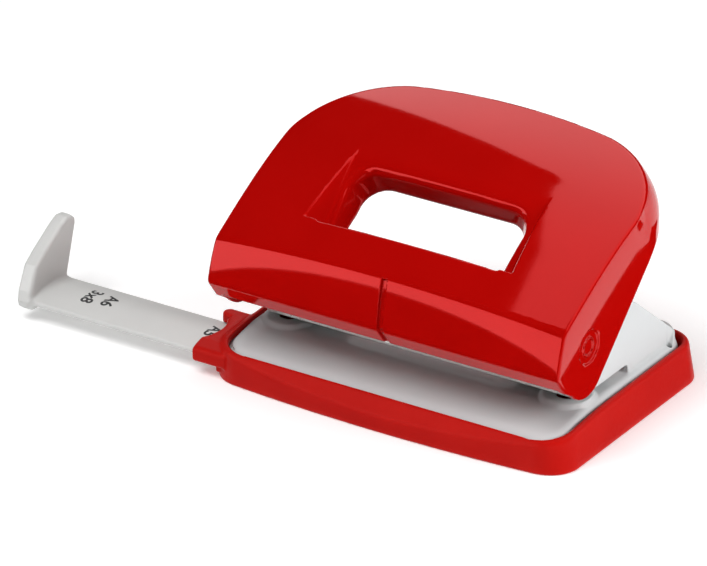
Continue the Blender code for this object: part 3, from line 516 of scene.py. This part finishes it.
def lever_field(x, y, z):
    side = np.abs(x)
    # the top and the front facet bulge towards the middle of the lever
    rise = LEVER_BULGE * (1.0 - (x / LEVER_HALF) ** 2)
    lean = rise / LEVER_BULGE
    # outer shape
    top = (z - np.polyval(RIDGE, y) - rise) / np.sqrt(1.0 + np.polyval(RIDGE_SLOPE, y) ** 2)
    foot = (FACET_FOOT[0] - FACET_FOOT_OUT * lean, FACET_FOOT[1])
    head = (FACET_HEAD[0] - FACET_HEAD_OUT * lean, FACET_HEAD[1] + FACET_HEAD_RISE * rise)
    facet = left_of(y, z, foot, head)
    facet = facet - FACET_SWELL + FACET_CURVE * (z - FACET_MIDDLE_Z) ** 2
    lip = left_of(y, z, LIP_END, UNDER[0])
    bow = LEVER_BOW * x * x * np.clip(y / BOW_FULL_Y, 0.0, 1.0)
    plan = panel(x, y + bow, LEVER_HALF, -FAR, LEVER_REAR, 1.0, LEVER_CORNER)
    crease = panel(x, y + bow, CREASE_HALF, -FAR, CREASE_REAR, 1.0, CREASE_CORNER)
    plan = plan + (crease - plan) * np.clip(1.0 + top / SHOULDER, 0.0, 1.2) ** 2
    under = outline_field(y, z, UNDER)
    outer = meet(meet(top, facet, 0.9), meet(plan, under, 0.8), 0.8)
    # hollow inside, open at the bottom, and the mouth between the cheeks
    hollow = meet(meet(top + SKIN, facet + SKIN, 1.0), meet(plan + SKIN, lip + SKIN, 1.0), 1.0)
    mouth = meet(meet(side - LEVER_HALF + SKIN, y - MOUTH_FRONT_Y, 0.6), z - LIP_END[1], 0.6)
    shell = carve(carve(outer, hollow, 0.6), mouth, 0.8)
    # walls round the hand opening
    along = (y - GRIP_ORIGIN[0]) * math.cos(GRIP_TILT) + (z - GRIP_ORIGIN[1]) * math.sin(GRIP_TILT)
    depth = (y - GRIP_ORIGIN[0]) * math.sin(GRIP_TILT) - (z - GRIP_ORIGIN[1]) * math.cos(GRIP_TILT)
    half = GRIP_HALF - GRIP_TAPER * np.clip(depth, 0.0, GRIP_DEPTH)
    grip = panel(x, along, half, GRIP_LOW, GRIP_HIGH, 0.9, GRIP_CORNER)
    walls = meet(meet(grip - GRIP_WALL, depth - GRIP_DEPTH, 0.8), top + UNDER_TOP, 0.3)
    # thicker floor on both sides of the opening, for the finger scoops
    wings = panel(x, along, WING_HALF, GRIP_LOW - WING_BORDER, GRIP_HIGH + WING_BORDER, 1.0, 3.0)
    wings = meet(meet(wings, depth - WING_DEPTH, 0.8), top + UNDER_TOP, 0.3)
    shell = join(shell, join(walls, wings, 0.5), 0.8)
    # finger scoops, fading out towards the top, then the opening itself
    out_edge = SCOOP_OUT - SCOOP_NARROWING * (along - GRIP_LOW)
    sink = join(SCOOP_SLOPE * (out_edge - side), SCOOP_FADE * (SCOOP_END - along), 0.8)
    scoop = meet(-top - sink, GRIP_LOW + 0.4 - along, 0.4)
    shell = carve(shell, scoop, 0.45)
    shell = carve(shell, grip, 0.9 + 1.5 * np.clip(along / GRIP_HIGH, 0.0, 1.0))
    # centre mark
    near_face = np.minimum(-facet, -lip) - MARK_DEPTH
    groove = meet(side - MARK_HALF, meet(near_face, z - FACET_HEAD[1] - MARK_PAST_HEAD, 0.3), 0.25)
    shell = carve(shell, groove, 0.25)
    # pivot bosses inside the cheeks
    from_pivot = disc(y, z, PIVOT, 0.0)
    shell = join(shell, meet(from_pivot - BOSS_R, band(side, *BOSS_X), 0.3), 0.5)
    shell = carve(shell, meet(from_pivot - SOCKET_R, side - SOCKET_END_X, 0.2), 0.2)
    # pusher ribs with round noses
    rib = meet(band(side, PIN_X - RIB_HALF, PIN_X + RIB_HALF), outline_field(y, z, RIB_SIDE), 0.4)
    shell = join(shell, meet(rib, top + UNDER_TOP, 0.3), 0.5)
    # plain round badge sunk into the outer cheek
    dish = disc(y, z, BADGE, BADGE_R)
    shell = carve(shell, meet(dish, LEVER_HALF - BADGE_DEPTH - side, 0.3), 0.3)
    ring = np.abs(disc(y, z, BADGE, RING_R)) - RING_HALF
    return join(shell, meet(ring, band(side, *RING_X), 0.12), 0.15)


def make_lever(mat):
    xs = both_sides((0.0, 1.5, 0.25), (1.5, 21.0, 0.8), (21.0, 31.0, 0.5), (31.0, 36.6, 0.8),
                    (36.6, 43.4, 0.45), (43.4, 46.0, 0.6), (46.0, 51.4, 0.35))
    ys = steps((-23.0, 44.0, 0.55))
    zs = steps((15.5, 65.0, 0.53))
    lever = skin("lever_shell", lever_field, xs, ys, zs, mat)
    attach(lever, "lever_body")
    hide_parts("lever")


# ---------------------------------------------------------------- chip tray

def bowed(x, y):
    """Depth coordinate that straightens the tray's bowed front edge."""
    return y - np.where(y < BOW_END_Y, TRAY_BOW * np.minimum(x * x, (TRAY_HALF - BOW_FLAT) ** 2), 0.0)


def rail_arch(y):
    """Height of the rail's crown above its edges."""
    t = (y - RAIL_Y[0]) / (RAIL_Y[1] - RAIL_Y[0])
    return RAIL_CROWN * (1.0 - (2.0 * t - 1.0) ** 2)


def holder_field(x, y, z):
    """Block on the tray's left end that the rail slides through, with an arched window in its top."""
    arch = outline_field(x, y, HOLDER_PLAN)
    crown = outline_field(y, z, HOLDER_CROWN)
    return meet(arch, meet(crown, 3.4 - z, 0.4), 0.9)


HOLDER_PLAN = ([(-55.6, -20.6), (-46.0, -20.6), (-46.0, -1.6), (-56.6, -1.6)]
               + arc(-56.2, -3.3, 1.5, 120, 270, 8) + [(-54.4, -5.2)]
               + arc(-60.4, -11.0, 7.4, 38, -38, 9) + [(-55.4, -16.4)])
HOLDER_CROWN = [(-24.0, 0.0), (0.5, 0.0), (0.5, 9.8), (-4.0, 9.7), (-8.0, 9.4), (-13.0, 9.1), (-17.0, 8.5),
                (-19.6, 7.6), (-24.0, 5.0)]


def tray_field(x, y, z):
    side = np.abs(x)
    yb = bowed(x, y)
    plan = panel(x, yb, TRAY_HALF - TRAY_DRAFT * z, TRAY_FRONT, TRAY_REAR - TRAY_DRAFT * z, TRAY_CORNER,
                 TRAY_CORNER)
    # rim height follows the plate, then falls away in the slanted front facet
    rim = meet(z - TRAY_TOP, left_of(y, z, RIM_FRONT, (APRON_Y, TRAY_TOP)), 1.5)
    facet = left_of(y, z, *TRAY_FACET)
    body = meet(meet(meet(plan, rim, 1.4), facet, 0.45), -z, 0.8)
    body = join(body, holder_field(x, y, z), 0.7)
    # hollow for the chips and the wider pocket for the plate
    chips = panel(x, y, CHIP_HALF, *CHIP_Y, CHIP_CORNER, CHIP_CORNER)
    body = carve(body, meet(chips, TRAY_FLOOR - z, 0.5), 0.3)
    pocket = panel(x, y, PLATE_HALF + POCKET_GAP, PLATE_FRONT - POCKET_FRONT_GAP, POCKET_REAR,
                   PLATE_CORNER, PLATE_CORNER)
    body = carve(body, meet(pocket, POCKET_Z - z, 0.3), 0.5)
    # channel for the rail, open through the left end
    high = RAIL_EDGE_Z + rail_arch(y) + CHANNEL_GAP
    channel = meet(band(y, RAIL_Y[0] - CHANNEL_GAP, RAIL_Y[1] + CHANNEL_GAP),
                   np.maximum(CHANNEL_LOW - z, z - high), 0.3)
    body = carve(body, meet(channel, x - RAIL_REACH_X, 0.3), 0.25)
    # ribs that carry the rail
    for ends in RAIL_RIBS_Y:
        rib = meet(band(y, *ends), band(z, *RAIL_RIB_Z), 0.3)
        body = join(body, meet(rib, band(x, RAIL_RIB_START, RAIL_REACH_X + 1.0), 0.3), 0.3)
    # hinge lugs
    for ends in LUGS_X:
        lug = meet(band(side, *ends), outline_field(y, z, LUG), 0.3)
        body = join(body, lug, 0.4)
    bore = meet(disc(y, z, HINGE, HINGE_BORE_R), band(side, 26.0, 42.0), 0.1)
    body = carve(body, bore, 0.15)
    # seats of the four rubber pads
    for pad_y in PADS_Y:
        seat = meet(disc(side, y, (PAD_X, pad_y), PAD_SEAT_R), z - PAD_SEAT_Z, 0.1)
        body = carve(body, seat, 0.15)
    return body


LUG = LUG_FOOT + arc(*HINGE, LUG_R, -45, 190, 13)


def make_tray(mat):
    xs = np.concatenate([steps((-58.4, -43.0, 0.45), (-43.0, -26.0, 0.6), (-26.0, 26.0, 1.2))[:-1],
                         steps((26.0, 42.0, 0.5), (42.0, 52.4, 0.45))])
    ys = steps((-24.0, -17.0, 0.4), (-17.0, 34.0, 0.75), (34.0, 48.2, 0.45))
    zs = steps((-0.9, 12.0, 0.42))
    tray = skin("tray_shell", tray_field, xs, ys, zs, mat)
    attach(tray, "tray")
    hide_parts("chip_tray")


# ---------------------------------------------------------------- steel frame

def plate_top(y):
    """Height of the plate: flat at the rear, bent down towards the front edge."""
    fall = (SLOT_Z[0] - 0.2 - APRON_FRONT_Z) / (APRON_Y - PLATE_FRONT)
    return join(SLOT_Z[0], SLOT_Z[0] - 0.2 + fall * (y - APRON_Y), 0.3)


EAR = ([(40.2, 10.0), (40.2, 13.0), (39.4, 14.2), (22.6, 28.0), (14.5, 33.6), (11.0, 34.6), (7.0, 34.6),
        (-2.5, 33.0)] + arc(PIVOT[0], PIVOT[1], 6.3, 60, 238, 14)
       + [(-8.2, 16.6), (-3.6, 14.3), (-2.0, SLOT_Z[1]), (17.4, SLOT_Z[1])]
       + arc(17.4, 12.1, 1.1, 80, 0, 5) + [(18.6, 10.0)])


def plate_field(x, y, z):
    side = np.abs(x)
    top = z - plate_top(y)
    plan = panel(x, y, PLATE_HALF, PLATE_FRONT, PLATE_REAR, PLATE_CORNER, PLATE_CORNER)
    # raised bosses round the dies
    boss = disc(side, y, (PIN_X, 0.0), 0.0)
    raised = np.clip((DIE_BOSS_R - boss) / DIE_BOSS_FADE, 0.0, 1.0)
    top = top - DIE_BOSS_RISE * raised * raised * (3.0 - 2.0 * raised)
    outer = meet(top, plan, 2.8)
    inner = meet(meet(top + SHEET, plan + SHEET, 1.8), -50.0 - z, 1.0)
    sheet = carve(outer, inner, 0.3)
    sheet = meet(sheet, SKIRT_Z - z, 0.4)
    ear = meet(band(side, *EAR_X), outline_field(y, z, EAR), 0.35)
    sheet = join(sheet, ear, 0.9)
    # die holes, pivot and rivet holes, relief holes at the rear corners
    sheet = carve(sheet, boss - DIE_R, 0.35)
    sheet = carve(sheet, meet(disc(y, z, PIVOT, PIVOT_HOLE_R), side - EAR_DRILL_X, 0.1), 0.15)
    for at in RIVETS:
        sheet = carve(sheet, meet(disc(y, z, at, RIVET_HOLE_R), side - EAR_DRILL_X, 0.1), 0.15)
    sheet = carve(sheet, meet(disc(side, y, RELIEF, RELIEF_R), RELIEF_Z - z, 0.1), 0.25)
    # hinge knuckle under the rear edge
    root = meet(band(y, *KNUCKLE_Y), band(z, *KNUCKLE_Z), 0.1)
    knuckle = join(disc(y, z, HINGE, KNUCKLE_R), root, 0.1)
    sheet = join(sheet, meet(knuckle, band(side, *KNUCKLE_X), 0.2), 0.3)
    sheet = carve(sheet, meet(disc(y, z, HINGE, HINGE_BORE_R), band(side, 30.0, 38.0), 0.1), 0.15)
    # notch in the left skirt for the rail
    notch = meet(band(y, RAIL_Y[0] + 0.9, RAIL_Y[1] + 0.8), np.maximum(z - NOTCH_Z, x - NOTCH_X), 0.2)
    sheet = carve(sheet, notch, 0.3)
    # upturned rear edge, falling away round both corners
    crest = UPSTAND_TOP - UPSTAND_FALL * np.clip((UPSTAND_FULL_Y - y) / UPSTAND_FADE, 0.0, 1.0) ** 2
    upstand = meet(band(plan, *UPSTAND_IN), np.maximum(z - crest, UPSTAND_LOW - z), 0.5)
    return join(sheet, meet(upstand, UPSTAND_END_Y - y, 1.0), 1.0)


def make_plate(mat):
    xs = both_sides((0.0, 30.0, 1.3), (30.0, 43.6, 0.5), (43.6, 49.2, 0.3))
    ys = steps((-20.6, -17.0, 0.35), (-17.0, 36.0, 0.6), (36.0, 44.8, 0.4))
    zs = steps((6.4, 14.2, 0.3), (14.2, 36.0, 0.5))
    plate = skin("plate_sheet", plate_field, xs, ys, zs, mat)
    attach(plate, "frame")
    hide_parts("base_plate")


def bracket_field(x, y, z):
    """Folded sheet over the slot: a web that guides the punches, a flange at each end, paper stops."""
    side = np.abs(x)
    web = meet(panel(x, y, BRACKET_HALF, *BRACKET_Y, 0.8, 0.8), band(z, *BRACKET_WEB_Z), 0.35)
    wall = meet(band(y, FLANGE_FRONT, BRACKET_Y[1]), band(z, BRACKET_WEB_Z[0], FLANGE_TOP), 2.5)
    flange = meet(band(side, FLANGE_IN, BRACKET_HALF), wall, 0.35)
    bracket = join(web, flange, 0.8)
    stop = meet(band(side, *BRACKET_STOP_X), band(z, *BRACKET_STOP_Z), 0.8)
    bracket = join(bracket, meet(stop, band(y, *BRACKET_STOP_Y), 0.35), 0.5)
    bracket = carve(bracket, disc(side, y, (PIN_X, 0.0), BUSH_HOLE_R), 0.25)
    window = panel(x, y, WINDOW_HALF, *WINDOW_Y, WINDOW_CORNER, WINDOW_CORNER)
    bracket = carve(bracket, window, 0.3)
    for at in RIVETS:
        bracket = carve(bracket, meet(disc(y, z, at, RIVET_HOLE_R), FLANGE_DRILL_X - side, 0.1), 0.15)
    return bracket


def make_bracket(mat):
    xs = both_sides((0.0, 16.0, 1.0), (16.0, 35.0, 0.6), (35.0, 41.6, 0.4), (41.6, 44.6, 0.25))
    ys = steps((-5.6, 14.2, 0.35))
    zs = steps((10.6, 15.6, 0.25), (15.6, 28.8, 0.45))
    bracket = skin("guide_bracket_sheet", bracket_field, xs, ys, zs, mat)
    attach(bracket, "frame")
    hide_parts("guide_bracket")


def make_spring(end, x, mat):
    """Helical wire whose end turns lie nearly flat."""
    low, high = SPRING_Z[0] + WIRE_R, SPRING_Z[1] - WIRE_R
    turn_steps, sides = 36, 12
    count = int(SPRING_TURNS * turn_steps)
    body = bmesh.new()
    rows = []
    for i in range(count + 1):
        turn = i / turn_steps
        angle = 2.0 * math.pi * turn
        rise = min(max((turn - END_TURN) / (SPRING_TURNS - 2.0 * END_TURN), 0.0), 1.0)
        first_end = END_RISE * min(turn / END_TURN, 1.0)
        last_end = END_RISE * max(0.0, (turn - SPRING_TURNS + END_TURN) / END_TURN)
        z = low + (high - low) * ((1.0 - 2.0 * END_RISE) * rise + (first_end + last_end))
        row = []
        for k in range(sides):
            around = 2.0 * math.pi * k / sides
            radius = SPRING_R + WIRE_R * math.cos(around)
            at = (x + radius * math.cos(angle), radius * math.sin(angle), z + WIRE_R * math.sin(around))
            row.append(body.verts.new(Vector(at) * MM))
        rows.append(row)
    for first, second in zip(rows, rows[1:]):
        for k in range(sides):
            n = (k + 1) % sides
            body.faces.new((first[k], first[n], second[n], second[k]))
    body.faces.new(rows[0])
    body.faces.new(rows[-1][::-1])
    bmesh.ops.recalc_face_normals(body, faces=body.faces[:])
    mesh = bpy.data.meshes.new("spring_wire_" + end)
    body.to_mesh(mesh)
    body.free()
    mesh.shade_smooth()
    mesh.materials.append(mat)
    spring = bpy.data.objects.new("spring_wire_" + end, mesh)
    bpy.context.scene.collection.objects.link(spring)
    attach(spring, "frame")
    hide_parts("return_spring_" + end)
    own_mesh(spring)


# ---------------------------------------------------------------- guide rail

STOP = [(-17.9, 2.8), (-19.6, 4.0), (-20.0, 5.6), (-19.3, 8.5), (-16.4, 14.4), (-12.4, 17.2), (-5.2, 21.5),
        (-2.6, 22.6), (-0.6, 22.4), (0.8, 21.2), (0.9, 19.8), (-3.3, 6.6), (-3.6, 2.8)]


def rail_field(x, y, z):
    crown = RAIL_EDGE_Z + rail_arch(y)
    strip = meet(z - crown, crown - RAIL_T - z, 0.4)
    strip = meet(meet(strip, band(y, RAIL_Y[0], RAIL_Y[1]), 0.5), band(x, RAIL_X[0], RAIL_X[1]), 0.5)
    stop = meet(outline_field(y, z, STOP), band(x, STOP_X[0], STOP_X[1]), 1.3)
    return join(strip, stop, 1.2)


def make_rail(mat):
    xs = np.concatenate([steps((-110.0, -103.0, 0.3))[:-1], steps((-103.0, 6.0, 1.5))[:-1],
                         steps((6.0, 8.0, 0.4))])
    ys = steps((-20.8, 1.8, 0.35))
    zs = steps((2.0, 8.4, 0.3), (8.4, 23.6, 0.45))
    rail = skin("rail_strip", rail_field, xs, ys, zs, mat)
    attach(rail, "rail")
    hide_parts("guide_rail")


def make_mark(name, text, x, mat):
    """Printed paper-format mark on the rail's crown, read from the paper side."""
    data = bpy.data.curves.new(name, "FONT")
    data.body = text
    data.size = 1.0
    data.align_x = "CENTER"
    data.align_y = "CENTER"
    data.offset = 0.02
    source = bpy.data.objects.new(name + "_text", data)
    bpy.context.scene.collection.objects.link(source)
    bpy.context.view_layer.update()
    mesh = bpy.data.meshes.new_from_object(source.evaluated_get(bpy.context.evaluated_depsgraph_get()))
    bpy.data.objects.remove(source)
    body = bmesh.new()
    body.from_mesh(mesh)
    bmesh.ops.remove_doubles(body, verts=body.verts[:], dist=1e-5)
    tall = MARK_TALL * MM
    turn = Matrix(((0.0, tall, 0.0), (-tall, 0.0, 0.0), (0.0, 0.0, 1.0))).to_4x4()
    bmesh.ops.transform(body, matrix=turn, verts=body.verts[:])
    # cut into narrow strips, so that the flat letters can follow the rail's arch
    for i in range(-12, 13):
        bmesh.ops.bisect_plane(body, geom=body.verts[:] + body.edges[:] + body.faces[:],
                               plane_co=(0.0, i * MARK_STRIP * MM, 0.0), plane_no=(0.0, 1.0, 0.0))
    middle = MARK_MIDDLE_Y * MM
    for vert in body.verts:
        y = vert.co.y + middle
        vert.co = (vert.co.x + x * MM, y, (RAIL_EDGE_Z + rail_arch(y / MM) + MARK_PROUD) * MM)
    bmesh.ops.triangulate(body, faces=body.faces[:])
    made = bmesh.ops.extrude_face_region(body, geom=body.faces[:])
    for item in made["geom"]:
        if isinstance(item, bmesh.types.BMVert):
            item.co.z -= MARK_THICK * MM
    bmesh.ops.recalc_face_normals(body, faces=body.faces[:])
    body.to_mesh(mesh)
    body.free()
    mesh.materials.clear()
    mesh.materials.append(mat)
    mark = bpy.data.objects.new(name, mesh)
    bpy.context.scene.collection.objects.link(mark)
    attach(mark, "rail")


# ---------------------------------------------------------------- studio

def make_floor():
    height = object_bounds()[0][2]
    size = 3.0
    mesh = bpy.data.meshes.new("floor")
    corners = [(-size, -size, height), (size, -size, height), (size, size, height), (-size, size, height)]
    mesh.from_pydata(corners, [], [(0, 1, 2, 3)])
    floor = bpy.data.objects.new("floor", mesh)
    mat = bpy.data.materials.new("floor_paper")
    mat.use_nodes = True
    shader = mat.node_tree.nodes["Principled BSDF"]
    shader.inputs["Base Color"].default_value = (0.92, 0.92, 0.92, 1.0)
    shader.inputs["Roughness"].default_value = 0.9
    shader.inputs["Specular IOR Level"].default_value = 0.0
    shader.inputs["Emission Color"].default_value = (1.0, 1.0, 1.0, 1.0)
    shader.inputs["Emission Strength"].default_value = 0.24
    mesh.materials.append(mat)
    bpy.context.scene.collection.objects.link(floor)


def make_lamp(name, at, towards, width, height, watts, mirrored):
    """Soft box. A mirrored one shows only in reflections; the others only light the scene."""
    data = bpy.data.lights.new(name, "AREA")
    data.shape = "RECTANGLE"
    data.size = width
    data.size_y = height
    data.energy = watts
    lamp = bpy.data.objects.new(name, data)
    lamp.location = at
    lamp.rotation_euler = (Vector(towards) - Vector(at)).to_track_quat("-Z", "Y").to_euler()
    lamp.visible_diffuse = not mirrored
    lamp.visible_glossy = mirrored
    bpy.context.scene.collection.objects.link(lamp)


def make_flag(name, points, mat):
    """Black card that only shows in reflections, where it keeps the gloss dark."""
    mesh = bpy.data.meshes.new(name)
    mesh.from_pydata(points, [], [tuple(range(len(points)))])
    mesh.materials.append(mat)
    flag = bpy.data.objects.new(name, mesh)
    flag.visible_camera = False
    flag.visible_diffuse = False
    flag.visible_shadow = False
    flag.visible_transmission = False
    bpy.context.scene.collection.objects.link(flag)


def make_studio():
    make_floor()
    world = bpy.data.worlds.new("studio")
    world.use_nodes = True
    world.node_tree.nodes["Background"].inputs["Color"].default_value = (1.0, 1.0, 1.0, 1.0)
    world.node_tree.nodes["Background"].inputs["Strength"].default_value = 0.27
    world.cycles_visibility.glossy = False
    bpy.context.scene.world = world
    bpy.context.scene.view_settings.view_transform = "Standard"
    centre = (0.0, 0.01, 0.03)
    make_lamp("key_box", (0.90, 0.22, 0.38), centre, 0.5, 0.5, 7.2, False)
    make_lamp("front_box", (-0.15, -0.45, 0.95), centre, 0.6, 0.6, 7.6, False)
    make_lamp("ceiling", (0.0, 0.75, 1.05), (0.0, 0.75, 0.0), 2.4, 1.7, 25.0, True)
    make_lamp("front_card", (-0.44, -0.78, 0.24), centre, 1.1, 0.44, 5.6, True)
    black = bpy.data.materials.new("flag_black")
    black.use_nodes = True
    black.node_tree.nodes["Principled BSDF"].inputs["Base Color"].default_value = (0.0, 0.0, 0.0, 1.0)
    black.node_tree.nodes["Principled BSDF"].inputs["Specular IOR Level"].default_value = 0.0
    height = 1.0
    corner = arc(-0.50, 0.42, 0.10, 70, -5, 8)
    edge = [(-2.0, 1.75)] + corner + [(-0.33, 0.05), (-0.30, -0.60), (-2.0, -0.60)]
    make_flag("ceiling_flag", [(x, y, height) for x, y in edge], black)
    near = 0.0006
    front = [(-1.2, -1.4), (0.3, -1.4), (0.06, -0.024), (-0.06, -0.024), (-1.2, -0.024)]
    make_flag("front_flag", [(x, y, near) for x, y in front], black)
    # black card on the floor beside the tray's right end, shown only in reflections: painted shadow of the
    # punch on the floor, as the glossy cheek mirrors it
    beside = [(0.052, -0.03), (0.062, -0.03), (0.0867, 0.051), (0.101, 0.098), (0.12, 0.16), (0.052, 0.16)]
    make_flag("floor_shadow_flag", [(x, y, near) for x, y in beside], black)


def make_camera():
    azimuth, elevation, roll = math.radians(33.34), math.radians(26.25), math.radians(0.47)
    distance, aim_right, aim_up = 1.5943, -0.0181, 0.0276
    back = Vector((math.sin(azimuth) * math.cos(elevation), -math.cos(azimuth) * math.cos(elevation),
                   math.sin(elevation)))
    right = Vector((math.cos(azimuth), math.sin(azimuth), 0.0))
    up = back.cross(right)
    right, up = (right * math.cos(roll) - up * math.sin(roll), right * math.sin(roll) + up * math.cos(roll))
    place = right * aim_right + up * aim_up + back * distance
    data = bpy.data.cameras.new("camera")
    data.sensor_width = 36.0
    data.lens = 332.5
    data.clip_end = 20.0
    camera = bpy.data.objects.new("camera", data)
    turn = Matrix((right, up, back)).transposed().to_4x4()
    camera.matrix_world = Matrix.Translation(place) @ turn
    bpy.context.scene.collection.objects.link(camera)
    bpy.context.scene.camera = camera


# ---------------------------------------------------------------- build

make_camera()
FINISH = {
    "red_gloss_plastic": red_gloss(),
    "red_grained_plastic": red_grained(),
    "grey_painted_steel": grey_painted(),
    "grey_plastic": grey_moulded(),
    "zinc_plated_steel": zinc(),
    "punch_steel": ground_steel("ground_punch_steel", (0.52, 0.52, 0.54), 0.18, 0.34),
    "spring_steel": ground_steel("drawn_spring_steel", (0.40, 0.40, 0.42), 0.26, 0.42),
    "guide_bush_plastic": bush_plastic(),
    "anti_slip_rubber": rubber(),
}
BLACK_INK = ink()

make_lever(FINISH["red_gloss_plastic"])
make_tray(FINISH["red_grained_plastic"])
make_plate(FINISH["grey_painted_steel"])
make_bracket(FINISH["zinc_plated_steel"])
make_rail(FINISH["grey_plastic"])
for spring_end, spring_x in (("left", -PIN_X), ("right", PIN_X)):
    make_spring(spring_end, spring_x, FINISH["spring_steel"])
for subpart in frame["record"]["subparts"]:
    node = frame["nodes"][subpart["node"]]
    for place in node.material_slots:
        place.material = FINISH[subpart["material_slot"]]
for mark_name, mark_text, mark_x in MARKS:
    make_mark(mark_name, mark_text, mark_x, BLACK_INK)
make_studio()
